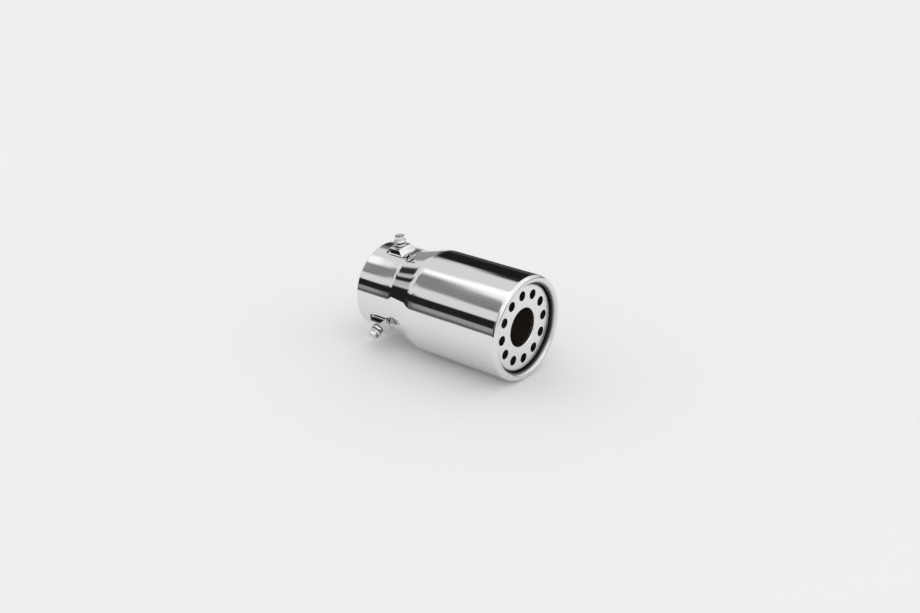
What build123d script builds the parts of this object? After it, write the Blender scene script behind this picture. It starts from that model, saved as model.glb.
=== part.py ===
"""Bolt-on exhaust tip: a stepped polished shell, a recessed outlet plate and three clamp bolts.

Millimetres. +X runs along the tip from the inlet mouth to the outlet, +Z is up, and the
origin is the centre of the inlet mouth.
"""
import os
from math import atan2, cos, hypot, radians, sin, sqrt, tan

from build123d import *

os.makedirs("parts", exist_ok=True)

# Shell
wall = 1.5
sleeve_r = 38.1
body_r = 44.45
neck_x = 36.65
shoulder_x = 60.9
neck_bend = 16.5
shoulder_bend = 30.0
mouth_round = 0.4
length = 154.0

# Lip: a round at the body's edge, then a longer curve that rolls in and back to the plate
lip_r = 3.6
roll_w = 3.1
roll_depth = 5.5
roll_skirt = 2.0

# Outlet plate: level with the foot of the roll, its brim behind the roll's end
plate_t = 1.0
plate_gap = 0.65
plate_corner = 1.4
brim_bend = 0.4
brim_fit = 0.05
centre_r = 16.3
collar_depth = 3.6
collar_bend = 1.2
hole_r = 4.1
hole_pitch_r = 28.0
hole_count = 12
hole_clock = 3.8

# Bridges pressed out of the sleeve, one for each clamp bolt; angles from +Z towards -Y
clamp_angles = (5.5, 125.5, 245.5)
clamp_x = 20.9
bridge_half_len = 9.35
ramp_len = 4.4
ramp_lag = 0.5
slit_w = 9.2
strap_w = 8.0
pad_rise = 4.5

# Clamp bolts, lock nuts and captive nuts
thread_r = 2.5
thread_play = 0.05
bolt_clear = 0.3
bolt_across = 8.0
bolt_head = 5.2
bolt_turns = (18, 38, 0)
flange_r = 5.4
flange_rim = 0.7
flange_cone = 1.2
flange_cone_r = 4.3
head_lift = 1.2
dimple_r = 2.6
dimple_depth = 0.4
tip_clear = 0.25
lock_across = 9.4
lock_t = 2.4
lock_turns = (0, 25, 10)
crown_slope = radians(30)
crown_in = 0.15
captive_across = 8.0
captive_t = 2.6
captive_round = 0.4
foot_len = 11.6
foot_w = 14.8
foot_t = 1.6

# Sizes that follow from those above
bore_r = sleeve_r - wall
body_in_r = body_r - wall
flare_shift = wall * tan(atan2(body_r - sleeve_r, shoulder_x - neck_x) / 2)
lip_x = length - lip_r
lip_mid_r = body_r - lip_r
roll_in_r = lip_mid_r - roll_w
plate_x = length - roll_depth
brim_x = plate_x - roll_skirt
brim_r = body_in_r - brim_fit
hat_r = roll_in_r - plate_gap
bridge_x0 = clamp_x - bridge_half_len
bridge_x1 = clamp_x + bridge_half_len
pad_h = sleeve_r + pad_rise
pocket_h = pad_h - wall
slit_h = sqrt(bore_r**2 - slit_w**2)
flange_h = pad_h + lock_t + head_lift
head_h = flange_h + bolt_head
tip_h = bore_r + tip_clear
nut_bore_r = thread_r + thread_play
captive_h = sqrt(pocket_h**2 - (captive_across / 2) ** 2)


def clamp_planes(height, turns=(0, 0, 0)):
    """Planes square to the clamp bolts, `height` out from the tip's axis, each turned about its bolt."""
    planes = []
    for angle, turn in zip(clamp_angles, turns):
        out = Vector(0, -sin(radians(angle)), cos(radians(angle)))
        plane = Plane(origin=Vector(clamp_x, 0, 0) + out * height, x_dir=(1, 0, 0), z_dir=out)
        planes.append(Plane(plane.location * Rot(Z=turn)))
    return planes


def at(points, x, y):
    """The sketch's corner at (x, y)."""
    return [p for p in points if hypot(p.X - x, p.Y - y) < 0.01]


def ease(t):
    """Smooth step from 0 to 1."""
    t = min(max(t, 0.0), 1.0)
    return t * t * (3 - 2 * t)


def strap_level(rise, r, top, w):
    """Height of the strap `w` off its centre line, between the tube's curve and the top's."""
    return (1 - rise) * sqrt(r * r - w * w) + rise * sqrt(top * top - w * w)


def strap_edge(half_w, rise, r, top):
    """Edge over the strap's width, arched like the tube."""
    side = strap_level(rise, r, top, half_w)
    return ThreePointArc((-half_w, side), (0, strap_level(rise, r, top, 0)), (half_w, side))


# Ring that cuts the 30 degree crown on a hex, its axis on Z and its small end at the origin
with BuildPart() as bolt_crown:
    with BuildSketch(Plane.XZ):
        crown_r = bolt_across / 2 - crown_in
        reach = bolt_across / 4
        Polygon(
            (crown_r, 0), (crown_r + reach, 0), (crown_r + reach, -reach * tan(crown_slope)), align=None,
        )
    revolve(axis=Axis.Z)

with BuildPart() as lock_crown:
    with BuildSketch(Plane.XZ):
        crown_r = lock_across / 2 - crown_in
        reach = lock_across / 4
        Polygon(
            (crown_r, 0), (crown_r + reach, 0), (crown_r + reach, -reach * tan(crown_slope)), align=None,
        )
    revolve(axis=Axis.Z)

# One bridge strap at the top of the sleeve: sections along the tip from end to end
ramp_steps = [ramp_len * k / 8 for k in range(9)] + [ramp_len + ramp_lag]
strap_xs = [bridge_x0 + s for s in ramp_steps] + [bridge_x1 - s for s in reversed(ramp_steps)]

with BuildPart() as strap:
    for x in strap_xs:
        from_end = min(x - bridge_x0, bridge_x1 - x)
        rise = ease(from_end / ramp_len)
        rise_inside = ease((from_end - ramp_lag) / ramp_len)
        half_w = slit_w - (slit_w - strap_w) * rise
        with BuildSketch(Plane(origin=(x, 0, 0), x_dir=(0, 1, 0), z_dir=(1, 0, 0))):
            with BuildLine():
                outside = strap_edge(half_w, rise, sleeve_r, pad_h)
                inside = strap_edge(half_w, rise_inside, bore_r, pocket_h)
                Line(outside @ 0, inside @ 0)
                Line(outside @ 1, inside @ 1)
            make_face()
    loft(ruled=True)

# Shell: tube with its edge rolled in at the outlet, opened at the bridges, with a strap in each opening
with BuildPart() as tip_shell:
    with BuildSketch(Plane.XZ):
        with BuildLine():
            Polyline(
                (lip_x, body_in_r), (shoulder_x + flare_shift, body_in_r), (neck_x + flare_shift, bore_r),
                (0, bore_r), (0, sleeve_r), (neck_x, sleeve_r), (shoulder_x, body_r), (lip_x, body_r),
            )
            CenterArc((lip_x, lip_mid_r), lip_r, 0, 90)
            EllipticalCenterArc((plate_x, lip_mid_r), roll_depth, roll_w, start_angle=270, arc_size=90)
            Polyline(
                (plate_x, roll_in_r), (brim_x, roll_in_r), (brim_x, roll_in_r + wall),
                (plate_x, roll_in_r + wall),
            )
            EllipticalCenterArc(
                (plate_x, lip_mid_r), roll_depth - wall, roll_w - wall, start_angle=270, arc_size=90,
            )
            CenterArc((lip_x, lip_mid_r), lip_r - wall, 0, 90)
        make_face()
        fillet(at(vertices(), 0, sleeve_r), mouth_round)
        fillet(at(vertices(), neck_x, sleeve_r), neck_bend)
        fillet(at(vertices(), neck_x + flare_shift, bore_r), neck_bend + wall)
        fillet(at(vertices(), shoulder_x, body_r), shoulder_bend)
        fillet(at(vertices(), shoulder_x + flare_shift, body_in_r), shoulder_bend - wall)
    revolve(axis=Axis.X)
    with BuildSketch(*clamp_planes(slit_h - wall)):
        Rectangle(2 * bridge_half_len, 2 * slit_w)
    extrude(amount=pocket_h - slit_h + wall, mode=Mode.SUBTRACT)
    for angle in clamp_angles:
        add(strap.part.rotate(Axis.X, angle))
    with BuildSketch(*clamp_planes(pocket_h - wall)):
        Circle(thread_r + bolt_clear)
    extrude(amount=3 * wall, mode=Mode.SUBTRACT)

# Outlet plate: flat face with a collar turned in at its centre and a brim that meets the roll's end
with BuildPart() as outlet_plate:
    with BuildSketch(Plane.XZ):
        with BuildLine():
            Polyline(
                (plate_x - collar_depth, centre_r), (plate_x, centre_r), (plate_x, hat_r),
                (brim_x, hat_r), (brim_x, brim_r), (brim_x - plate_t, brim_r),
                (brim_x - plate_t, hat_r - plate_t), (plate_x - plate_t, hat_r - plate_t),
                (plate_x - plate_t, centre_r + plate_t), (plate_x - collar_depth, centre_r + plate_t),
                close=True,
            )
        make_face()
        fillet(at(vertices(), plate_x, centre_r), collar_bend)
        fillet(at(vertices(), plate_x - plate_t, centre_r + plate_t), collar_bend - plate_t)
        fillet(at(vertices(), plate_x, hat_r), plate_corner)
        fillet(at(vertices(), plate_x - plate_t, hat_r - plate_t), plate_corner - plate_t)
        fillet(at(vertices(), brim_x, hat_r), brim_bend)
        fillet(at(vertices(), brim_x - plate_t, hat_r - plate_t), brim_bend + plate_t)
    revolve(axis=Axis.X)
    with BuildSketch(Plane.YZ.offset(plate_x - 2 * plate_t)):
        with PolarLocations(hole_pitch_r, hole_count, start_angle=90 + hole_clock):
            Circle(hole_r)
    extrude(amount=3 * plate_t, mode=Mode.SUBTRACT)

# Clamp bolts: hex head on a coned flange, run in until the tip is just outside the bore
with BuildPart() as clamp_bolts:
    with BuildSketch(*clamp_planes(tip_h)):
        Circle(thread_r)
    extrude(amount=flange_h + flange_rim - tip_h)
    with BuildSketch(*clamp_planes(flange_h)):
        Circle(flange_r)
    extrude(amount=flange_rim)
    with Locations(*clamp_planes(flange_h + flange_rim)):
        Cone(flange_r, flange_cone_r, flange_cone, align=(Align.CENTER, Align.CENTER, Align.MIN))
    with BuildSketch(*clamp_planes(flange_h, bolt_turns)):
        RegularPolygon(bolt_across / 2, 6, major_radius=False)
    extrude(amount=bolt_head)
    with Locations(*clamp_planes(head_h)):
        add(bolt_crown.part, mode=Mode.SUBTRACT)
    with Locations(*clamp_planes(head_h - dimple_depth)):
        Cone(
            dimple_r / 2, dimple_r, dimple_depth,
            align=(Align.CENTER, Align.CENTER, Align.MIN), mode=Mode.SUBTRACT,
        )

# Thin hex nuts that lock the bolts on top of the bridges
with BuildPart() as lock_nuts:
    with BuildSketch(*clamp_planes(pad_h, lock_turns)):
        RegularPolygon(lock_across / 2, 6, major_radius=False)
        Circle(nut_bore_r, mode=Mode.SUBTRACT)
    extrude(amount=lock_t)
    with Locations(*clamp_planes(pad_h + lock_t)):
        add(lock_crown.part, mode=Mode.SUBTRACT)
    with Locations(*[plane.location * Rot(X=180) for plane in clamp_planes(pad_h)]):
        add(lock_crown.part, mode=Mode.SUBTRACT)

# Square nuts under the bridges, each on a wide foot whose edge shows in the slots
with BuildPart() as captive_nuts:
    with BuildSketch(*clamp_planes(captive_h - captive_t)):
        RectangleRounded(captive_across, captive_across, captive_round)
        Circle(nut_bore_r, mode=Mode.SUBTRACT)
    extrude(amount=captive_t)
    with BuildSketch(*clamp_planes(captive_h - captive_t - foot_t)):
        RectangleRounded(foot_len, foot_w, captive_round)
        Circle(nut_bore_r, mode=Mode.SUBTRACT)
    extrude(amount=foot_t)

tip_shell.part.label = "tip_shell"
outlet_plate.part.label = "outlet_plate"
clamp_bolts.part.label = "clamp_bolts"
lock_nuts.part.label = "lock_nuts"
captive_nuts.part.label = "captive_nuts"

export_step(tip_shell.part, "parts/tip_shell.step")
export_step(outlet_plate.part, "parts/outlet_plate.step")
export_step(clamp_bolts.part, "parts/clamp_bolts.step")
export_step(lock_nuts.part, "parts/lock_nuts.step")
export_step(captive_nuts.part, "parts/captive_nuts.step")
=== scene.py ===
"""Looks of a bolt-on exhaust tip: mirror-polished shell, satin outlet plate, zinc-plated clamp bolts.

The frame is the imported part's: +X runs from the inlet mouth to the outlet, +Z is up, and the origin
is the centre of the inlet mouth. Sizes are in millimetres, and meshes are written in metres.
"""

from math import atan2, cos, radians, sin, sqrt, tan

import bmesh
import bpy
import numpy as np
from mathutils import Matrix, Vector


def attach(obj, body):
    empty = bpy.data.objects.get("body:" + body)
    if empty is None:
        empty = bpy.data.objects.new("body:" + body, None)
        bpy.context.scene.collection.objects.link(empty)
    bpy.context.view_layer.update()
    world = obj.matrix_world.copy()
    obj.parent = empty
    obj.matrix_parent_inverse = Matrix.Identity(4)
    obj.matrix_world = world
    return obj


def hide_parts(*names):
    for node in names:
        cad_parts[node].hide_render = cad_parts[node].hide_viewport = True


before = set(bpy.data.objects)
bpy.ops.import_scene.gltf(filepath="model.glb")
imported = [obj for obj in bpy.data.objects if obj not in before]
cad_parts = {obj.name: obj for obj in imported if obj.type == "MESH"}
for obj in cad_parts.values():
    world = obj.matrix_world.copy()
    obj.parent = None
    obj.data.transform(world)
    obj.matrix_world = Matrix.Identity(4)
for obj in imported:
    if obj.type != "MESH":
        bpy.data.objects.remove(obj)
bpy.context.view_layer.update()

MM = 0.001

# Shell
WALL = 1.5
SLEEVE_R = 38.1
BODY_R = 44.45
NECK_X = 36.65
SHOULDER_X = 60.9
NECK_BEND = 16.5
SHOULDER_BEND = 30.0
MOUTH_ROUND = 0.4
LENGTH = 154.0
LIP_R = 3.6
ROLL_W = 3.1
ROLL_DEPTH = 5.5
ROLL_SKIRT = 2.0
BORE_R = SLEEVE_R - WALL
FLARE = atan2(BODY_R - SLEEVE_R, SHOULDER_X - NECK_X)
LIP_X = LENGTH - LIP_R
LIP_MID_R = BODY_R - LIP_R
ROLL_IN_R = LIP_MID_R - ROLL_W

# Outlet plate
PLATE_T = 1.0
PLATE_X = LENGTH - ROLL_DEPTH
PLATE_CORNER = 1.4
HAT_GAP = 0.65
HAT_R = ROLL_IN_R - HAT_GAP
BRIM_X = PLATE_X - ROLL_SKIRT
BRIM_PLAY = 0.05
BRIM_R = BODY_R - WALL - BRIM_PLAY
BRIM_BEND = 0.4
CENTRE_R = 16.3
COLLAR_DEPTH = 3.6
COLLAR_BEND = 1.2
HOLE_R = 4.1
HOLE_PITCH_R = 28.0
HOLE_COUNT = 12
HOLE_CLOCK = radians(3.8)
HOLE_EDGE = 0.22
HOLE_BAND = (22.6, 33.1)

# Bridges pressed out of the sleeve, one for each clamp bolt; angles from +Z towards -Y
CLAMP_ANGLES = np.radians([5.5, 125.5, 245.5])
CLAMP_X = 20.9
BRIDGE_HALF_LEN = 9.35
RAMP_LEN = 4.4
RAMP_LAG = 0.5
SLIT_W = 9.2
STRAP_W = 8.0
PAD_H = 42.6
POCKET_H = PAD_H - WALL
BOLT_HOLE_R = 2.8
BOLT_HOLE_EDGE = 0.1
BOLT_CELL = 4.2

# Clamp bolts and lock nuts; heights from the tip's axis
THREAD_R = 2.5
THREAD_PITCH = 0.8
THREAD_DEPTH = 0.45
THREAD_END_GAP = 0.25
TIP_H = 36.85
TIP_CHAMFER = 0.6
NUT_BORE_R = 2.55
NUT_LEAD = 0.35
NUT_CROWN = 0.6
LOCK_ACROSS = 9.4
LOCK_TOP_H = PAD_H + 2.4
LOCK_TURNS = np.radians([0, 25, 10])
FLANGE_H = LOCK_TOP_H + 1.2
FLANGE_R = 5.4
FLANGE_RIM = 0.7
FLANGE_ROUND = 0.2
FLANGE_CONE = 1.2
FLANGE_CONE_R = 4.3
HEAD_H = FLANGE_H + 5.2
HEAD_CROWN = 0.65
BOLT_ACROSS = 8.0
BOLT_TURNS = np.radians([18, 38, 0])
CROWN_SLOPE = radians(30)
CROWN_IN = 0.15
DIMPLE_R = 2.6
DIMPLE_DEPTH = 0.4
# Radius of a hexagon's rounded corners over half its width across flats
HEX_CORNER = 1.145
# Widths over which two surfaces of a fastener run into each other
EDGE_BLEND = 0.05
RIM_BLEND = 0.06
ROOT_BLEND = 0.12

# Where a finish changes, from the first place to the second: along the tip (X) or out from its axis (R, H)
FLARE_SPAN_X = (35.5, 63.0)
# Painted shade inside the tube, darkest at the inlet mouth and giving way to painted light deeper in
MOUTH_SHADE_SPAN_X = (0.0, 50.0)
# Painted shade on the roll's inner side, from where it starts to where it is full
ROLL_SHADE_X = (153.9, 150.2)
ROLL_BACK_X = BRIM_X - 0.2
# Painted shade on the plate towards its rim, beside the roll
RIM_SHADE_R = (34.4, 37.0)
# Painted highlight along the captive nut's lower edge
FOOT_HIGHLIGHT_H = (38.25, 38.05)
# Painted shade round the lock nut's foot on the pad, and on the bolt below it
NUT_FOOT_SHADE_H = (PAD_H + 0.7, PAD_H + 0.3)
FLANGE_SHADE_BELOW_H = (LOCK_TOP_H - 0.1, LOCK_TOP_H + 0.25)
FLANGE_SHADE_ABOVE_H = (FLANGE_H + 0.45, FLANGE_H + 0.1)
HEAD_END_H = (HEAD_H - 0.5, HEAD_H - 0.2)

# Camera, fitted to the outline of the tip; it shows what lies between the clip's two distances, in metres
IMAGE_W = 920
SENSOR_W = 36
FOCAL_PX = 1140.5
CAMERA_AZIMUTH = radians(39.005)
CAMERA_ELEVATION = radians(23.357)
CAMERA_DISTANCE = 962.2
CAMERA_TARGET = (76.46, 0.0, 0.0)
CAMERA_SLIDE = (5.11, -1.00)
CAMERA_CLIP = (0.01, 200)


# Grids and profiles

# Points closer than WELD become one, a point closer than NEAR to a face is on it, and an edge that turns
# more than CREASE is shaded sharp
WELD = 0.002
NEAR = 0.001
CREASE = radians(30)


def bunched(count, amount=0.6):
    """Parameters from 0 to 1 that lie closer at both ends: a mix of u and the smooth step of u."""
    u = np.linspace(0, 1, count + 1)
    return (1 - amount) * u + amount * u * u * (3 - 2 * u)


def run(start, end, count, amount=0.6):
    """Straight run from start to end: start + t (end - start), with bunched t."""
    t = bunched(count, amount)[:, None]
    return np.array(start) + t * (np.array(end) - np.array(start))


def bend(centre, radius, start, end, count):
    """Arc: centre + radius (cos a, sin a) while a goes evenly from start to end, in degrees. A pair
    of radii, one along each axis, makes it an arc of an ellipse."""
    a = np.radians(np.linspace(start, end, count + 1))
    return np.array(centre) + np.array(radius) * np.stack([np.cos(a), np.sin(a)], axis=1)


def closed_profile(*runs):
    """Runs laid end to end around a section, each without the last point, where the next one starts."""
    return np.concatenate([r[:-1] for r in runs])


def cell_middles(profile):
    """Middle between each point of a closed section and the next."""
    return (profile + np.roll(profile, -1, axis=0)) / 2


def ease(t):
    """Smooth step 3 t^2 - 2 t^3 of t held between 0 and 1."""
    t = np.clip(t, 0, 1)
    return t * t * (3 - 2 * t)


def grid_cells(rows, cols, close_rows, close_cols, keep=None):
    """Four corner numbers of each cell of a rows x cols grid of points, kept where `keep` is true."""
    i, j = np.meshgrid(
        np.arange(rows if close_rows else rows - 1),
        np.arange(cols if close_cols else cols - 1),
        indexing="ij",
    )
    i_next = (i + 1) % rows
    j_next = (j + 1) % cols
    corners = [i * cols + j, i * cols + j_next, i_next * cols + j_next, i_next * cols + j]
    cells = np.stack(corners, axis=-1)
    return cells.reshape(-1, 4) if keep is None else cells[keep]


def sheet(points, close_rows=False, close_cols=False, keep=None, slot_shade=0.0):
    """Patch of a rows x cols grid of points: its points, its cells, and 1 where painted shade covers the
    surface.
    """
    rows, cols = points.shape[:2]
    slot_shade = np.broadcast_to(slot_shade, (rows, cols)).reshape(-1)
    return points.reshape(-1, 3), grid_cells(rows, cols, close_rows, close_cols, keep), slot_shade


def piece_of(name, patches, node, finish):
    """Welds patches into one closed mesh with outward faces and sets it in place of a CAD node."""
    starts = np.cumsum([0] + [len(p) for p, _, _ in patches[:-1]])
    cells = np.concatenate([c + s for (_, c, _), s in zip(patches, starts)])
    used, cells = np.unique(cells, return_inverse=True)
    cells = cells.reshape(-1, 4)
    points = np.concatenate([p for p, _, _ in patches])[used] * MM
    slot_shades = np.concatenate([r for _, _, r in patches])[used]
    mesh = bpy.data.meshes.new(name)
    mesh.vertices.add(len(points))
    mesh.vertices.foreach_set("co", points.ravel())
    mesh.loops.add(cells.size)
    mesh.loops.foreach_set("vertex_index", cells.ravel())
    mesh.polygons.add(len(cells))
    mesh.polygons.foreach_set("loop_start", np.arange(0, cells.size, 4))
    mesh.update(calc_edges=True)
    # Painted shade of the bridges' slots, read by the mirror polish
    slot_shade = mesh.attributes.new("slot_shade", "FLOAT", "POINT")
    slot_shade.data.foreach_set("value", slot_shades.astype(np.float32))
    welded = bmesh.new()
    welded.from_mesh(mesh)
    bmesh.ops.remove_doubles(welded, verts=welded.verts, dist=WELD * MM)
    bmesh.ops.recalc_face_normals(welded, faces=welded.faces)
    welded.to_mesh(mesh)
    welded.free()
    mesh.shade_smooth()
    mesh.set_sharp_from_angle(angle=CREASE)
    mesh.materials.append(finish)
    piece = bpy.data.objects.new(name, mesh)
    bpy.context.scene.collection.objects.link(piece)
    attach(piece, "root")
    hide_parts(node)


def around_axis(x, radius, angle):
    """Points at x along the tip, at a radius and an angle from +Z towards -Y."""
    x, radius, angle = np.broadcast_arrays(x, radius, angle)
    return np.stack([x, -radius * np.sin(angle), radius * np.cos(angle)], axis=-1)


def clamp_axes(angle):
    """Unit vectors of a clamp: along the tip, around it, and outwards along the bolt."""
    along = np.array([1.0, 0.0, 0.0])
    around = np.array([0.0, -cos(angle), -sin(angle)])
    outwards = np.array([0.0, -sin(angle), cos(angle)])
    return along, around, outwards


def in_clamp(x, w, h, angle):
    """Points at x along the tip, w off the clamp's centre line and h out from the tip's axis."""
    along, around, outwards = clamp_axes(angle)
    x, w, h = np.broadcast_arrays(x, w, h)
    return x[..., None] * along + w[..., None] * around + h[..., None] * outwards


def punched_cell(rim, centre, radius, top, bottom, edge, spokes):
    """Sheet around a round hole. Each spoke runs from a rim point (a, b) straight towards the hole's
    edge at level `top`, over a quarter round, down the hole's wall, and back out at level `bottom`."""
    offset = rim - np.array(centre)
    reach = np.hypot(offset[:, 0], offset[:, 1])
    turn = np.radians(np.linspace(0, 90, 5))
    t = bunched(spokes, 0.3)[:, None]
    outer = (1 - t) * reach + t * (radius + edge)
    rounding = (radius + edge * (1 - np.sin(turn)))[:, None] + 0 * reach
    wall = radius + 0 * reach[None, :]
    back = ((1 - t) * reach + t * radius)[::-1]
    distance = np.concatenate([outer, rounding[1:], wall, back[1:]])
    level = np.concatenate([
        np.full(spokes + 1, top), (top - edge * (1 - np.cos(turn)))[1:], [bottom], np.full(spokes, bottom)
    ])
    ab = np.array(centre) + distance[..., None] * (offset / reach[:, None])
    return ab[..., 0], ab[..., 1], np.broadcast_to(level[:, None], distance.shape)


# Polished shell

RAMP_STEPS = 12
FLAT_STEPS = 1
CELL_STEPS = 10
SIDE_STEPS = 7
WALL_STEPS = 3
BETWEEN_STEPS = 84

# Grid lines of a bridge: x along one half, mirrored on the other, and v from -1 to 1 across it, both with
# even steps over the square around the bolt's hole
half_xs = np.concatenate([
    np.linspace(0, RAMP_LEN + RAMP_LAG, RAMP_STEPS + 1)[:-1],
    np.linspace(RAMP_LEN + RAMP_LAG, BRIDGE_HALF_LEN - BOLT_CELL, FLAT_STEPS + 1)[:-1],
    np.linspace(BRIDGE_HALF_LEN - BOLT_CELL, BRIDGE_HALF_LEN, CELL_STEPS // 2 + 1),
])
bridge_xs = CLAMP_X - BRIDGE_HALF_LEN + np.concatenate([half_xs, 2 * BRIDGE_HALF_LEN - half_xs[-2::-1]])
cell_v = BOLT_CELL / STRAP_W
bridge_vs = np.concatenate([
    np.linspace(-1, -cell_v, SIDE_STEPS + 1)[:-1],
    np.linspace(-cell_v, cell_v, CELL_STEPS + 1)[:-1],
    np.linspace(cell_v, 1, SIDE_STEPS + 1),
])
in_cell_x = np.abs((bridge_xs[1:] + bridge_xs[:-1]) / 2 - CLAMP_X) < BOLT_CELL
in_cell_v = np.abs((bridge_vs[1:] + bridge_vs[:-1]) / 2) < cell_v


def shell_profile():
    """Section of the shell's wall as (x, radius): out along the sleeve, neck, flare, shoulder and body,
    round the rolled lip, and back along the inside."""
    neck = (NECK_X - NECK_BEND * tan(FLARE / 2), SLEEVE_R + NECK_BEND)
    shoulder = (SHOULDER_X + SHOULDER_BEND * tan(FLARE / 2), BODY_R - SHOULDER_BEND)
    turn = np.degrees(FLARE)
    first_x = bridge_xs[0]
    last_x = bridge_xs[-1]

    def neck_arc(radius, count):
        """Arc about the neck's centre, from the sleeve to the flare."""
        return bend(neck, radius, -90, -90 + turn, count)

    def shoulder_arc(radius, count):
        """Arc about the shoulder's centre, from the flare to the body."""
        return bend(shoulder, radius, 90 + turn, 90, count)

    outer_neck = neck_arc(NECK_BEND, 14)
    outer_shoulder = shoulder_arc(SHOULDER_BEND, 16)
    inner_neck = neck_arc(NECK_BEND + WALL, 8)[::-1]
    inner_shoulder = shoulder_arc(SHOULDER_BEND - WALL, 10)[::-1]
    return closed_profile(
        run((0, BORE_R), (0, SLEEVE_R - MOUTH_ROUND), 3),
        bend((MOUTH_ROUND, SLEEVE_R - MOUTH_ROUND), MOUTH_ROUND, 180, 90, 6),
        run((MOUTH_ROUND, SLEEVE_R), (first_x, SLEEVE_R), 12),
        np.stack([bridge_xs, np.full_like(bridge_xs, SLEEVE_R)], axis=1),
        run((last_x, SLEEVE_R), outer_neck[0], 8),
        outer_neck,
        run(outer_neck[-1], outer_shoulder[0], 14),
        outer_shoulder,
        run(outer_shoulder[-1], (LIP_X, BODY_R), 32),
        bend((LIP_X, LIP_MID_R), LIP_R, 90, 0, 16),
        bend((PLATE_X, LIP_MID_R), (ROLL_DEPTH, ROLL_W), 0, -90, 30),
        run((PLATE_X, ROLL_IN_R), (BRIM_X, ROLL_IN_R), 4),
        run((BRIM_X, ROLL_IN_R), (BRIM_X, ROLL_IN_R + WALL), 2),
        run((BRIM_X, ROLL_IN_R + WALL), (PLATE_X, ROLL_IN_R + WALL), 3),
        bend((PLATE_X, LIP_MID_R), (ROLL_DEPTH - WALL, ROLL_W - WALL), -90, 0, 10),
        bend((LIP_X, LIP_MID_R), LIP_R - WALL, 0, 90, 4),
        run((LIP_X, BODY_R - WALL), inner_shoulder[0], 14),
        inner_shoulder,
        run(inner_shoulder[-1], inner_neck[0], 5),
        inner_neck,
        run(inner_neck[-1], (last_x, BORE_R), 3),
        np.stack([bridge_xs[::-1], np.full_like(bridge_xs, BORE_R)], axis=1),
        run((first_x, BORE_R), (0, BORE_R), 6),
    )


def tube_patch():
    """The section turned about the tip's axis, open at the bridges.

    A column is the clamp angle + asin(v slit / r) across a bridge, with v from -1 to 1, and goes on
    evenly to the next bridge, so the bridges' slits stay parallel to their bolts."""
    profile = shell_profile()
    x, r = profile[:, :1], profile[:, 1:]
    between = np.linspace(0, 1, BETWEEN_STEPS + 1)[1:-1]
    v = np.tile(np.concatenate([bridge_vs, np.ones_like(between)]), len(CLAMP_ANGLES))
    u = np.tile(np.concatenate([0 * bridge_vs, between]), len(CLAMP_ANGLES))
    clamp = np.repeat(CLAMP_ANGLES, len(v) // len(CLAMP_ANGLES))
    gap = 2 * np.pi / len(CLAMP_ANGLES) - 2 * np.arcsin(SLIT_W / r)
    angle = clamp + np.arcsin(SLIT_W * v / r) + u * gap
    points = around_axis(x, r, angle)
    middle = cell_middles(profile)
    on_sleeve = np.abs(middle[:, 1] - SLEEVE_R) < NEAR
    on_bore = np.abs(middle[:, 1] - BORE_R) < NEAR
    beside_bridge = (middle[:, 0] > bridge_xs[0]) & (middle[:, 0] < bridge_xs[-1])
    open_rows = (on_sleeve | on_bore) & beside_bridge
    at_bridge = np.arange(len(bridge_vs) - 1 + BETWEEN_STEPS) < len(bridge_vs) - 1
    open_cols = np.tile(at_bridge, len(CLAMP_ANGLES))
    keep = ~(open_rows[:, None] & open_cols[None, :])
    return sheet(points, close_rows=True, close_cols=True, keep=keep)


def slit_patch(angle, side):
    """Cut face of the sleeve beside a bridge: flat, from the sleeve's outside to its bore."""
    t = np.linspace(0, 1, WALL_STEPS + 1)
    h = (1 - t) * sqrt(SLEEVE_R**2 - SLIT_W**2) + t * sqrt(BORE_R**2 - SLIT_W**2)
    # Painted shade on the cut face, from the first row in from the sleeve's outside down to the bore
    return sheet(in_clamp(bridge_xs[:, None], side * SLIT_W, h[None, :], angle), slot_shade=1.0 * (t > 0))


def strap_patch(angle):
    """Skin of a bridge: at each x a section of outside, side, inside and other side.

    Outside and inside go from the tube's arc sqrt(r^2 - w^2) at the ends to the top's arc as the rise
    eases from 0 to 1, and the width narrows from the slit's to the strap's."""
    x = bridge_xs[:, None]
    from_end = BRIDGE_HALF_LEN - np.abs(x - CLAMP_X)
    rise = ease(from_end / RAMP_LEN)
    rise_inside = ease((from_end - RAMP_LAG) / RAMP_LEN)
    w = (SLIT_W - (SLIT_W - STRAP_W) * rise) * bridge_vs
    outside = (1 - rise) * np.sqrt(SLEEVE_R**2 - w**2) + rise * np.sqrt(PAD_H**2 - w**2)
    inside = (1 - rise_inside) * np.sqrt(BORE_R**2 - w**2) + rise_inside * np.sqrt(POCKET_H**2 - w**2)
    t = np.linspace(0, 1, WALL_STEPS + 1)[1:-1]
    right = (1 - t) * outside[:, -1:] + t * inside[:, -1:]
    left = (1 - t) * inside[:, :1] + t * outside[:, :1]
    w_loop = np.concatenate([w, w[:, -1:] + 0 * right, w[:, ::-1], w[:, :1] + 0 * left], axis=1)
    h_loop = np.concatenate([outside, right, inside[:, ::-1], left], axis=1)
    sides = np.zeros(WALL_STEPS, bool)
    over_cell = np.concatenate([in_cell_v, sides, in_cell_v[::-1], sides])
    keep = ~(in_cell_x[:, None] & over_cell[None, :])
    # Painted shade on the strap's sides and underside, fading in from its top edges down the sides
    slot_shade = 1.0 * (np.arange(w_loop.shape[1]) >= len(bridge_vs))
    return sheet(in_clamp(x, w_loop, h_loop, angle), close_cols=True, keep=keep, slot_shade=slot_shade)


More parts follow.
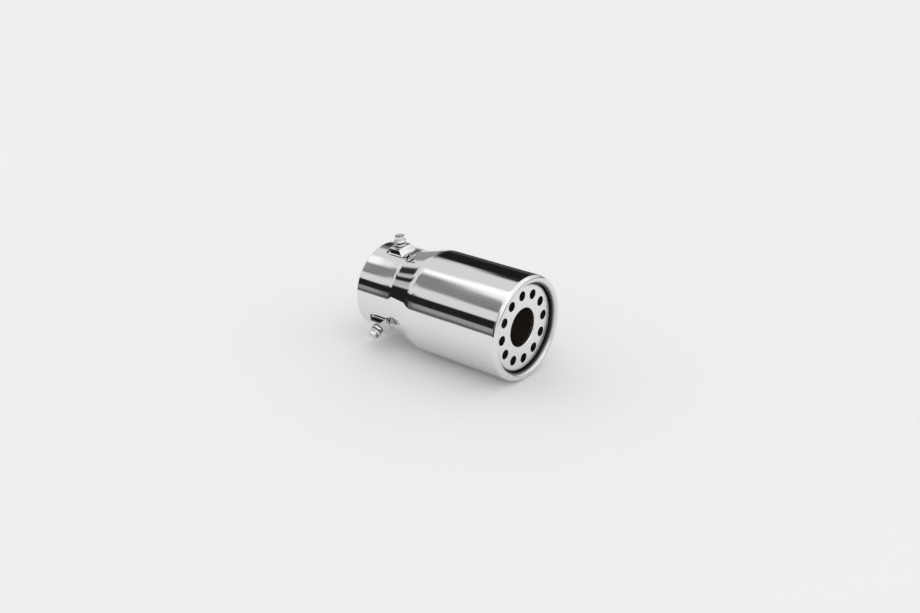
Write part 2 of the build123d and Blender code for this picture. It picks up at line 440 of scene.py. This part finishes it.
def bolt_hole_patch(angle):
    """Square of a bridge's arched top around the hole for its bolt: a share t of the wall above the
    pocket's arc, t sqrt(pad^2 - w^2) + (1 - t) sqrt(pocket^2 - w^2)."""
    side = np.linspace(-BOLT_CELL, BOLT_CELL, CELL_STEPS + 1)[:-1]
    edge = np.full_like(side, BOLT_CELL)
    rim = np.concatenate([
        np.stack([side, -edge], 1), np.stack([edge, side], 1),
        np.stack([-side, edge], 1), np.stack([-edge, -side], 1),
    ])
    x, w, t = punched_cell(rim, (0, 0), BOLT_HOLE_R, 1, 0, BOLT_HOLE_EDGE, spokes=3)
    h = t * np.sqrt(PAD_H**2 - w**2) + (1 - t) * np.sqrt(POCKET_H**2 - w**2)
    # Painted shade down the hole's wall and on the strap's underside
    return sheet(in_clamp(CLAMP_X + x, w, h, angle), close_cols=True, slot_shade=1 - t)


def polished_shell(finish):
    """The tube, and at each clamp the two cut faces, the bridge and the square around its hole."""
    patches = [tube_patch()]
    for angle in CLAMP_ANGLES:
        patches += [slit_patch(angle, side) for side in (1, -1)]
        patches += [strap_patch(angle), bolt_hole_patch(angle)]
    piece_of("polished_shell", patches, "tip_shell", finish)


# Satin outlet plate

CELL_COLS = 16
CELL_ROWS = 10


def plate_profile():
    """Section of the plate as (x, radius): collar, face, corner and brim, then back along the inside."""
    inner, outer = HOLE_BAND
    back_x = PLATE_X - PLATE_T
    brim_back_x = BRIM_X - PLATE_T
    corner = (PLATE_X - PLATE_CORNER, HAT_R - PLATE_CORNER)
    foot = (BRIM_X + BRIM_BEND, HAT_R + BRIM_BEND)
    collar = (PLATE_X - COLLAR_BEND, CENTRE_R + COLLAR_BEND)
    inside_bend = COLLAR_BEND - PLATE_T
    end_x = PLATE_X - COLLAR_DEPTH
    return closed_profile(
        run((end_x, CENTRE_R), (collar[0], CENTRE_R), 5),
        bend(collar, COLLAR_BEND, -90, 0, 10),
        run((PLATE_X, collar[1]), (PLATE_X, inner), 8),
        run((PLATE_X, inner), (PLATE_X, outer), CELL_ROWS, 0),
        run((PLATE_X, outer), (PLATE_X, corner[1]), 4),
        bend(corner, PLATE_CORNER, 0, 90, 12),
        run((corner[0], HAT_R), (foot[0], HAT_R), 1),
        bend(foot, BRIM_BEND, -90, -180, 5),
        run((BRIM_X, foot[1]), (BRIM_X, BRIM_R), 4),
        run((BRIM_X, BRIM_R), (brim_back_x, BRIM_R), 2),
        run((brim_back_x, BRIM_R), (brim_back_x, foot[1]), 4),
        bend(foot, BRIM_BEND + PLATE_T, 180, 270, 8),
        run((foot[0], HAT_R - PLATE_T), (corner[0], HAT_R - PLATE_T), 1),
        bend(corner, PLATE_CORNER - PLATE_T, 90, 0, 4),
        run((back_x, corner[1]), (back_x, outer), 3),
        run((back_x, outer), (back_x, inner), CELL_ROWS, 0),
        run((back_x, inner), (back_x, collar[1]), 6),
        bend(collar, inside_bend, 0, -90, 4),
        run((collar[0], CENTRE_R + PLATE_T), (end_x, CENTRE_R + PLATE_T), 4),
        run((end_x, CENTRE_R + PLATE_T), (end_x, CENTRE_R), 2),
    )


def plate_ring_patch():
    """The plate's section turned about the tip's axis, left open where the holes are."""
    profile = plate_profile()
    count = HOLE_COUNT * CELL_COLS
    angle = HOLE_CLOCK + 2 * np.pi * (np.arange(count) / count - 0.5 / HOLE_COUNT)
    middle = cell_middles(profile)
    on_face = np.abs(middle[:, 0] - PLATE_X) < NEAR
    on_back = np.abs(middle[:, 0] - (PLATE_X - PLATE_T)) < NEAR
    in_band = (middle[:, 1] > HOLE_BAND[0]) & (middle[:, 1] < HOLE_BAND[1])
    keep = np.repeat(~((on_face | on_back) & in_band)[:, None], count, axis=1)
    points = around_axis(profile[:, :1], profile[:, 1:], angle[None, :])
    return sheet(points, close_rows=True, close_cols=True, keep=keep)


def plate_hole_patch(number):
    """Sector of the plate around one punched hole; its rim follows the ring's own grid."""
    sweep = np.pi / HOLE_COUNT
    inner, outer = HOLE_BAND
    along = np.linspace(-sweep, sweep, CELL_COLS + 1)[:-1]
    up = np.linspace(inner, outer, CELL_ROWS + 1)[:-1]
    down = np.linspace(outer, inner, CELL_ROWS + 1)[:-1]
    angle = np.concatenate([along, np.full_like(up, sweep), -along, np.full_like(down, -sweep)])
    radius = np.concatenate([np.full_like(along, inner), up, np.full_like(along, outer), down])
    rim = np.stack([radius * np.sin(angle), radius * np.cos(angle)], axis=1)
    back_x = PLATE_X - PLATE_T
    a, b, x = punched_cell(rim, (0, HOLE_PITCH_R), HOLE_R, PLATE_X, back_x, HOLE_EDGE, spokes=5)
    turn = HOLE_CLOCK + 2 * np.pi * number / HOLE_COUNT
    return sheet(around_axis(x, np.hypot(a, b), np.arctan2(a, b) + turn), close_cols=True)


def holed_plate(finish):
    """The turned plate, and a sector around each hole."""
    patches = [plate_ring_patch()] + [plate_hole_patch(number) for number in range(HOLE_COUNT)]
    piece_of("holed_plate", patches, "outlet_plate", finish)


# Zinc-plated fasteners

BOLT_COLS = 72
# Rows of a bolt's head: how far close rows reach from the flange's rim, where the rows of the sides start
# above it, how far the last one lies below the head's end, and how far inside it the flat end starts
RIM_REACH = 0.15
SIDE_START = 0.25
END_DROP = 0.04
END_STEP = 0.06


def hex_radius(angle, across):
    """Radius of a hexagon with slightly rounded corners, a corner at angle 0: the flat's distance over
    the cosine of the angle from its middle, held under a little less than the corner's radius."""
    off_flat = np.mod(angle, np.pi / 3) - np.pi / 6
    return soft_least(across / 2 / np.cos(off_flat), across / 2 * HEX_CORNER, EDGE_BLEND)


def soft_least(a, b, blend):
    """The lesser of a and b with a rounded change from one to the other, `blend` wide."""
    return (a + b - np.sqrt((a - b) ** 2 + blend**2)) / 2


def soft_most(a, b, blend):
    """The greater of a and b with a rounded change from one to the other, `blend` wide."""
    return (a + b + np.sqrt((a - b) ** 2 + blend**2)) / 2


def on_bolt(radius, height, angle, clamp):
    """Points at a radius and an angle about a clamp's bolt, height out from the tip's axis."""
    return in_clamp(CLAMP_X + radius * np.cos(angle), -radius * np.sin(angle), height + 0 * radius, clamp)


def thread_rows(angle):
    """Heights and radii of the thread: a triangle wave of height minus the helix's climb, cut by the
    cone of the tip's chamfer."""
    h = np.arange(TIP_H, FLANGE_H - THREAD_END_GAP, THREAD_PITCH / 8)[:, None]
    wave = np.abs(np.mod(h / THREAD_PITCH - angle / (2 * np.pi), 1) * 2 - 1)
    chamfer = THREAD_R - TIP_CHAMFER + (h - TIP_H)
    return h, soft_least(THREAD_R - THREAD_DEPTH * wave, chamfer, EDGE_BLEND)


def head_rows(angle, turn):
    """Heights and radii of the head: the hexagon, cut by the crown's cone at the top and joined to the
    flange's cone below. Rows lie closer at the flange's rim and on the crown."""
    rim_h = FLANGE_H + FLANGE_RIM
    crown_h = HEAD_H - HEAD_CROWN
    h = np.concatenate([
        np.linspace(rim_h - RIM_REACH, rim_h + RIM_REACH, 7),
        np.linspace(rim_h + SIDE_START, crown_h, 30)[:-1],
        np.linspace(crown_h, HEAD_H - END_DROP, 22),
    ])[:, None]
    flange = FLANGE_R - (FLANGE_R - FLANGE_CONE_R) * (h - rim_h) / FLANGE_CONE
    flange = soft_least(flange, FLANGE_R, RIM_BLEND)
    crown = BOLT_ACROSS / 2 - CROWN_IN + (HEAD_H - h) / tan(CROWN_SLOPE)
    head = soft_least(hex_radius(angle - turn, BOLT_ACROSS), crown, EDGE_BLEND)
    return h, soft_most(head, flange, ROOT_BLEND)


def end_rows(rim_r):
    """Heights and radii of the head's end, from its rim to its middle: flat, then eased down into the
    dimple over half the dimple's radius."""
    r = np.concatenate([
        np.linspace(1, 0, 6)[1:] * (rim_r - DIMPLE_R) + DIMPLE_R,
        DIMPLE_R * np.linspace(1, 0, 8)[1:],
    ])[:, None]
    return HEAD_H - DIMPLE_DEPTH * ease((DIMPLE_R - r) / (DIMPLE_R / 2)), r


def bolt_patch(clamp, turn):
    """Flange bolt as a radius over height and angle: tip, thread, the flange's seat and rounded edge,
    head, and the head's dimpled end."""
    angle = np.linspace(0, 2 * np.pi, BOLT_COLS, endpoint=False)[None, :]
    thread_h, thread = thread_rows(angle)
    head_h, head = head_rows(angle, turn)
    end_h, end = end_rows(head[-1].min() - END_STEP)
    tip = np.linspace(0, 1, 4)[:-1, None] * thread[:1]
    seat = np.linspace(0, 1, 7)[1:, None] * (FLANGE_R - FLANGE_ROUND - THREAD_R) + THREAD_R
    edge = bend((FLANGE_H + FLANGE_ROUND, FLANGE_R - FLANGE_ROUND), FLANGE_ROUND, 180, 90, 5)[1:]
    radius = np.concatenate([
        tip, thread, seat + 0 * angle, edge[:, 1:] + 0 * angle, head, end + 0 * angle,
    ])
    tip_h = np.full((len(tip), 1), TIP_H)
    seat_h = np.full((len(seat), 1), FLANGE_H)
    height = np.concatenate([tip_h, thread_h, seat_h, edge[:, :1], head_h, end_h])
    return sheet(on_bolt(radius, height, angle, clamp), close_cols=True)


def flange_bolts(finish):
    """One bolt at each clamp, each hexagon turned its own way."""
    patches = [bolt_patch(clamp, turn) for clamp, turn in zip(CLAMP_ANGLES, BOLT_TURNS)]
    piece_of("flange_bolts", patches, "clamp_bolts", finish)


def lock_nut_patch(clamp, turn):
    """Thin hex nut, crowned on both faces, as a closed section of radius and height over the angle."""
    angle = np.linspace(0, 2 * np.pi, BOLT_COLS, endpoint=False)[None, :]
    side_h = np.concatenate([
        np.linspace(PAD_H, PAD_H + NUT_CROWN, 14)[:-1],
        np.linspace(PAD_H + NUT_CROWN, LOCK_TOP_H - NUT_CROWN, 8)[:-1],
        np.linspace(LOCK_TOP_H - NUT_CROWN, LOCK_TOP_H, 14),
    ])[:, None]
    from_face = np.minimum(side_h - PAD_H, LOCK_TOP_H - side_h)
    crown = LOCK_ACROSS / 2 - CROWN_IN + from_face / tan(CROWN_SLOPE)
    side = soft_least(hex_radius(angle - turn, LOCK_ACROSS), crown, EDGE_BLEND)
    t = np.linspace(0, 1, 6)[1:, None]
    lead = NUT_BORE_R + NUT_LEAD
    top = (1 - t) * side[-1:] + t * lead
    bottom = (t * side[:1] + (1 - t) * lead)[:-1]
    bore_h = np.linspace(LOCK_TOP_H - NUT_LEAD, PAD_H + NUT_LEAD, 6)[:, None]
    radius = np.concatenate([side, top, NUT_BORE_R + 0 * bore_h + 0 * angle, lead + 0 * angle, bottom])
    height = np.concatenate([
        side_h, np.full((len(top), 1), LOCK_TOP_H), bore_h, [[PAD_H]], np.full((len(bottom), 1), PAD_H),
    ])
    return sheet(on_bolt(radius, height, angle, clamp), close_rows=True, close_cols=True)


def lock_nuts(finish):
    """One thin nut at each clamp, each turned its own way."""
    patches = [lock_nut_patch(clamp, turn) for clamp, turn in zip(CLAMP_ANGLES, LOCK_TURNS)]
    piece_of("thin_lock_nuts", patches, "lock_nuts", finish)


# Finishes


class Nodes:
    """A node tree with a few short ways to add and link nodes."""

    def __init__(self, tree):
        self.tree = tree

    def add(self, kind, inputs=None, **settings):
        """Adds a node with its settings. An input that is a socket is linked, and a value is set."""
        node = self.tree.nodes.new(kind)
        for key, value in settings.items():
            setattr(node, key, value)
        for key, value in (inputs or {}).items():
            if isinstance(value, bpy.types.NodeSocket):
                self.tree.links.new(value, node.inputs[key])
            else:
                node.inputs[key].default_value = value
        return node

    def math(self, operation, a, b=0.0):
        """Result of one operation on a and b."""
        return self.add("ShaderNodeMath", {0: a, 1: b}, operation=operation).outputs[0]

    def mix(self, factor, a, b):
        """Number between a and b by factor."""
        node = self.add("ShaderNodeMix", {"Factor": factor, "A": a, "B": b}, data_type="FLOAT")
        return node.outputs["Result"]

    def fade(self, value, start, end):
        """Goes smoothly from 0 where value is `start` to 1 where it is `end`."""
        node = self.add(
            "ShaderNodeMapRange", {"Value": value, "From Min": start, "From Max": end},
            interpolation_type="SMOOTHSTEP",
        )
        return node.outputs["Result"]


class Finish(Nodes):
    """A material's node tree, painted in Object coordinates."""

    def __init__(self, name):
        self.material = bpy.data.materials.new(name)
        self.material.use_nodes = True
        super().__init__(self.material.node_tree)
        self.shader = self.tree.nodes["Principled BSDF"]
        self.place = self.add("ShaderNodeTexCoord").outputs["Object"]

    def from_axis(self):
        """Place along the tip, and distance sqrt(y^2 + z^2) from its axis, in metres."""
        x, y, z = self.add("ShaderNodeSeparateXYZ", {"Vector": self.place}).outputs
        squares = self.math("ADD", self.math("MULTIPLY", y, y), self.math("MULTIPLY", z, z))
        return x, self.math("SQRT", squares)

    def fade_over(self, value, span):
        """Goes smoothly from 0 to 1 between the two places of a span in millimetres."""
        return self.fade(value, span[0] * MM, span[1] * MM)

    def spread(self, value, low, high, to_low, to_high):
        """Value mapped from low..high to to_low..to_high and held there."""
        return self.add(
            "ShaderNodeMapRange",
            {"Value": value, "From Min": low, "From Max": high, "To Min": to_low, "To Max": to_high},
        ).outputs["Result"]

    def noise(self, scale, detail=2.0, roughness=0.5, stretch=None):
        """Noise on Object coordinates, its grains 1/scale metres wide, stretched by axis."""
        vector = self.place
        if stretch:
            mapping = self.add("ShaderNodeMapping", {"Vector": self.place, "Scale": stretch})
            vector = mapping.outputs["Vector"]
        return self.add(
            "ShaderNodeTexNoise",
            {"Vector": vector, "Scale": scale, "Detail": detail, "Roughness": roughness},
        ).outputs["Fac"]

    def tint(self, factor, first, second):
        """Colour between first and second by factor."""
        node = self.add("ShaderNodeMix", {"Factor": factor}, data_type="RGBA")
        for socket, colour in zip([s for s in node.inputs if s.type == "RGBA"], (first, second)):
            if isinstance(colour, bpy.types.NodeSocket):
                self.tree.links.new(colour, socket)
            else:
                socket.default_value = (*colour, 1)
        return next(s for s in node.outputs if s.type == "RGBA")

    def bump(self, height, distance, onto=None):
        """Normal of a surface raised by height times distance, in metres, on top of another normal."""
        inputs = {"Height": height, "Distance": distance, "Strength": 1.0}
        if onto is not None:
            inputs["Normal"] = onto
        return self.add("ShaderNodeBump", inputs).outputs["Normal"]

    def set(self, **inputs):
        """Links or sets the shader's inputs, named with underscores for spaces."""
        for key, value in inputs.items():
            socket = self.shader.inputs[key.replace("_", " ")]
            if isinstance(value, bpy.types.NodeSocket):
                self.tree.links.new(value, socket)
            else:
                socket.default_value = value


def mirror_polish():
    """Polished stainless steel outside, with painted shade on the roll's inner side; dull dark inside the
    tube, painted darker near the inlet mouth where light comes in and lighter deeper in where little light
    reaches, with painted shade in the bridges' slots.
    """
    f = Finish("mirror_polish")
    x, radius = f.from_axis()
    flare_from, flare_to = FLARE_SPAN_X
    mid_wall = f.spread(
        x, flare_from * MM, flare_to * MM, (SLEEVE_R - WALL / 2) * MM, (BODY_R - WALL / 2) * MM
    )
    within = f.math("LESS_THAN", radius, mid_wall)
    behind_roll = f.math("LESS_THAN", x, ROLL_BACK_X * MM)
    # Painted shade in the bridges' slots: their cut faces, the straps' sides and undersides and the bolt
    # holes' walls
    cut = f.add("ShaderNodeAttribute", attribute_name="slot_shade").outputs["Fac"]
    inside = f.math("MAXIMUM", f.math("MULTIPLY", within, behind_roll), cut)
    # Painted shade on the roll's inner side, between the lip and the plate; it is made rougher there too
    on_roll = f.math("LESS_THAN", radius, LIP_MID_R * MM)
    roll_shade = f.math("MULTIPLY", on_roll, f.fade_over(x, ROLL_SHADE_X))
    roll_shade = f.math("MULTIPLY", roll_shade, f.math("SUBTRACT", 1.0, behind_roll))

    bright = f.tint(f.noise(45, 3), (0.775, 0.778, 0.785), (0.815, 0.815, 0.82))
    bright = f.tint(roll_shade, bright, (0.045, 0.042, 0.040))
    # The inside is painted darker near the inlet mouth, where light comes in, and lighter deeper in, where
    # little light reaches
    mouth_shade_from, mouth_shade_to = MOUTH_SHADE_SPAN_X
    depth = f.spread(x, mouth_shade_from * MM, mouth_shade_to * MM, 0.0, 1.0)
    dull = f.tint(depth, (0.07, 0.062, 0.056), (0.21, 0.172, 0.152))

    lines = f.noise(1, 2, 0.6, stretch=(5200, 60, 60))
    line_rough = f.spread(lines, 0.35, 0.75, 0.02, 0.06)
    smear_rough = f.spread(f.noise(60, 2), 0.4, 0.8, 0.0, 0.02)
    outside_rough = f.mix(roll_shade, f.math("ADD", line_rough, smear_rough), 0.34)
    inside_rough = f.spread(f.noise(400, 3), 0.3, 0.7, 0.38, 0.6)
    ripple = f.bump(f.noise(28, 1), 0.00010)
    f.set(
        Base_Color=f.tint(inside, bright, dull),
        Metallic=1.0,
        Roughness=f.mix(inside, outside_rough, inside_rough),
        Normal=f.bump(lines, 0.0000004, onto=ripple),
    )
    return f.material


def satin_steel():
    """Fine blasted stainless steel: pale, with a faint grain, and matt and dark towards the rim with
    painted shade.
    """
    f = Finish("satin_steel")
    _, radius = f.from_axis()
    # Painted shade on the plate towards its rim, where it is also made matt and less metallic
    rim_shade = f.fade_over(radius, RIM_SHADE_R)
    grain = f.noise(2600, 2)
    pale = f.tint(f.spread(grain, 0.3, 0.7, 0, 1), (0.80, 0.80, 0.795), (0.88, 0.88, 0.875))
    clean_rough = f.spread(f.noise(260, 3), 0.3, 0.7, 0.22, 0.30)
    f.set(
        Base_Color=f.tint(rim_shade, pale, (0.17, 0.163, 0.158)),
        Metallic=f.mix(rim_shade, 1.0, 0.2),
        Roughness=f.mix(rim_shade, clean_rough, 0.55),
        Normal=f.bump(grain, 0.00002),
    )
    return f.material


def bright_zinc():
    """Bright zinc plate with small mottles, with painted shade under the flange and round the nut's foot,
    and duller on the head's end."""
    f = Finish("bright_zinc")
    _, height = f.from_axis()
    mottle = f.noise(1500, 3, 0.6)
    pale = f.tint(f.spread(mottle, 0.35, 0.7, 0, 1), (0.60, 0.605, 0.61), (0.79, 0.795, 0.80))
    # Painted shade in the gap under the flange, and round the nut's foot and below
    under_flange = f.math(
        "MULTIPLY", f.fade_over(height, FLANGE_SHADE_BELOW_H), f.fade_over(height, FLANGE_SHADE_ABOVE_H)
    )
    dark = f.math("MAXIMUM", under_flange, f.fade_over(height, NUT_FOOT_SHADE_H))
    side_rough = f.spread(f.noise(700, 2), 0.3, 0.7, 0.13, 0.24)
    f.set(
        Base_Color=f.tint(dark, pale, (0.05, 0.048, 0.046)),
        Metallic=1.0,
        Roughness=f.mix(f.fade_over(height, HEAD_END_H), side_rough, 0.34),
        Normal=f.bump(mottle, 0.00002),
    )
    return f.material


def shaded_nut_steel():
    """Dark steel with painted shade from the strap above it, and a painted highlight along the lower edge
    of the foot.
    """
    f = Finish("shaded_nut_steel")
    _, height = f.from_axis()
    cloud = f.noise(900, 3)
    # Painted shade from the strap over the nut, and a painted highlight along the foot's lower edge
    shaded_nut = f.tint(cloud, (0.035, 0.033, 0.031), (0.07, 0.066, 0.062))
    f.set(
        Base_Color=f.tint(f.fade_over(height, FOOT_HIGHLIGHT_H), shaded_nut, (0.34, 0.33, 0.32)),
        Metallic=1.0,
        Roughness=f.spread(cloud, 0.3, 0.7, 0.40, 0.55),
    )
    return f.material


# Studio: a pale table, and a surround with panels and flags

# The table ends in front of the tip and behind it; its corners lie at (x, y) in metres
TABLE_CORNERS = [(-1.67, 0.2), (28.06, -10.62), (30.0, 0.2)]
# Levels of the surround as a light, of the backdrop beyond the table, and between the panels
SURROUND = 0.95
BACKDROP = 0.8615
OPEN_LEVEL = 0.80
# A lean past 1, where a panel has no end
ALL = 3.0
# Each panel or flag: turn about the tip's axis in degrees (0 overhead, 90 at the front's horizon,
# -90 at the back's) from, to and edge width; lean along the tip (-1 the inlet's way, 1 the outlet's)
# from, to and edge width; brightness. Later ones stand before earlier ones.
PANELS = [
    # Behind the tip: a grey wall, pale ground below it, and a dark flag beside the body
    (-200, -78, 4, -ALL, ALL, 0.1, 0.36),
    (-200, -90, 2, -ALL, ALL, 0.1, 0.86),
    (-200, -78, 4, -0.615, -0.47, 0.015, 0.07),
    # Towards the outlet: a broad bright panel overhead, a dim end wall, and a grey card in front
    (-55, 50, 12, -0.22, ALL, 0.15, 1.12),
    (-180, 180, 1, 0.955, ALL, 0.03, 0.30),
    (44, 68, 6, -0.35, 0.3, 0.1, 0.55),
    # Behind and above: grey cards for the neck and the sleeve, and black flags for the body
    (-95, -46, 6, -ALL, -0.66, 0.03, 0.33),
    (-82, -36, 6, -0.66, -0.60, 0.02, 0.22),
    (-82, -42, 4, -0.617, -0.43, 0.012, 0.013),
    (-46, -35, 5, -0.57, -0.43, 0.02, 0.013),
    # Overhead: bright strips, wider towards the outlet
    (1, 10.5, 3, -0.614, ALL, 0.01, 1.25),
    (-3, 19, 3, -0.575, ALL, 0.025, 1.25),
    # In front and above: a grey card, softer at its upper edge and slanted at its lower one
    (15, 46, 4, -0.67, -0.43, 0.03, 0.27),
    (18, 27, 8, -0.587, -0.43, 0.012, 0.40),
    (40, 47.8, 3, -0.575, -0.43, 0.02, 0.24),
    (40, 48.5, 3, -0.665, -0.636, 0.006, 0.25),
    (41.5, 50, 3.5, -0.632, -0.611, 0.006, 0.80),
    (12, 20, 5, -0.575, -0.43, 0.025, 1.1),
    (12, 24, 5, -0.549, -0.43, 0.006, 1.1),
    # Beside the inlet mouth: a bright strip overhead and a dark flag behind
    (-3, 20, 4, -0.665, -0.637, 0.008, 1.2),
    (-77, -50, 8, -0.665, -0.633, 0.006, 0.03),
    # Far towards the inlet, for the flare: a grey card and two black flags
    (-20, 53, 6, -ALL, -0.87, 0.05, 0.55),
    (-18, 6, 5, -ALL, -0.85, 0.04, 0.03),
    (19, 34, 4, -ALL, -0.83, 0.06, 0.02),
    # Along the front's horizon: black flags, a grey strip below them, and their slant on the sleeve
    (66, 120, 3, -0.47, 0.2, 0.05, 0.16),
    (81, 120, 3, -0.47, 0.2, 0.05, 0.045),
    (66.7, 120, 2, -ALL, -0.45, 0.04, 0.015),
    (57, 120, 5, -ALL, -0.84, 0.06, 0.015),
    (82.5, 120, 2, -0.86, -0.45, 0.04, 0.035),
    (83.5, 120, 1.5, -0.67, -0.45, 0.03, 0.34),
    (92.5, 120, 1, -0.67, -0.45, 0.03, 0.14),
    (63.3, 72, 2.5, -0.632, -0.611, 0.006, 0.015),
    (82.5, 97, 2, -0.632, -0.611, 0.006, 0.075),
]


def pale_floor():
    """Table of matt pale paper, faintly mottled, level with the lowest line of the body."""
    f = Finish("pale_paper")
    f.set(
        Base_Color=f.tint(f.noise(3, 3), (0.90, 0.90, 0.90), (0.92, 0.92, 0.92)),
        Roughness=0.9, Specular_IOR_Level=0.1,
    )
    mesh = bpy.data.meshes.new("floor")
    mesh.from_pydata([(x, y, -BODY_R * MM) for x, y in TABLE_CORNERS], [], [(0, 1, 2)])
    mesh.materials.append(f.material)
    floor = bpy.data.objects.new("floor", mesh)
    bpy.context.scene.collection.objects.link(floor)


def studio_surround():
    """World light: a pale surround, in which only reflections meet the panels and flags. A panel covers
    an open level by the product of its four faded sides."""
    world = bpy.data.worlds.new("studio")
    world.use_nodes = True
    bpy.context.scene.world = world
    n = Nodes(world.node_tree)
    n.tree.nodes.clear()
    way = n.add("ShaderNodeTexCoord").outputs["Generated"]
    lean, y, z = n.add("ShaderNodeSeparateXYZ", {"Vector": way}).outputs
    turn = n.math("MULTIPLY", n.math("ARCTAN2", n.math("MULTIPLY", y, -1), z), 180 / np.pi)
    level = OPEN_LEVEL
    for turn_from, turn_to, turn_edge, lean_from, lean_to, lean_edge, brightness in PANELS:
        sides = [
            n.fade(value, at - edge, at + edge)
            for value, at, edge in (
                (turn, turn_from, turn_edge), (turn, turn_to, -turn_edge),
                (lean, lean_from, lean_edge), (lean, lean_to, -lean_edge),
            )
        ]
        cover = n.math("MULTIPLY", n.math("MULTIPLY", *sides[:2]), n.math("MULTIPLY", *sides[2:]))
        level = n.mix(cover, level, brightness)
    panels = n.add("ShaderNodeBackground", {"Color": (1, 1, 1, 1), "Strength": level}).outputs[0]
    pale, backdrop = [
        n.add("ShaderNodeBackground", {"Color": (tone, tone, tone, 1)}).outputs[0]
        for tone in (SURROUND, BACKDROP)
    ]
    path = n.add("ShaderNodeLightPath").outputs
    around = n.add("ShaderNodeMixShader", {0: path["Is Glossy Ray"], 1: pale, 2: panels}).outputs[0]
    seen = n.add("ShaderNodeMixShader", {0: path["Is Camera Ray"], 1: around, 2: backdrop}).outputs[0]
    n.add("ShaderNodeOutputWorld", {"Surface": seen})


def studio_camera():
    """Camera at the fitted angle: it looks along -back, moved across by the slide."""
    a, e = CAMERA_AZIMUTH, CAMERA_ELEVATION
    right = Vector((cos(a), sin(a), 0))
    back = Vector((sin(a) * cos(e), -cos(a) * cos(e), sin(e)))
    up = back.cross(right)
    data = bpy.data.cameras.new("camera")
    data.sensor_fit = "HORIZONTAL"
    data.sensor_width = SENSOR_W
    data.lens = FOCAL_PX * SENSOR_W / IMAGE_W
    data.clip_start, data.clip_end = CAMERA_CLIP
    camera = bpy.data.objects.new("camera", data)
    bpy.context.scene.collection.objects.link(camera)
    slide_right, slide_up = CAMERA_SLIDE
    place = Vector(CAMERA_TARGET) + CAMERA_DISTANCE * back + slide_right * right + slide_up * up
    turned = Matrix((right, up, back)).transposed().to_4x4()
    camera.matrix_world = Matrix.Translation(place * MM) @ turned
    bpy.context.scene.camera = camera


# The object and its studio

zinc = bright_zinc()
polished_shell(mirror_polish())
holed_plate(satin_steel())
flange_bolts(zinc)
lock_nuts(zinc)
shaded_nut = shaded_nut_steel()
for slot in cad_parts["captive_nuts"].material_slots:
    slot.material = shaded_nut

pale_floor()
studio_surround()
studio_camera()
bpy.context.scene.view_settings.view_transform = "Standard"
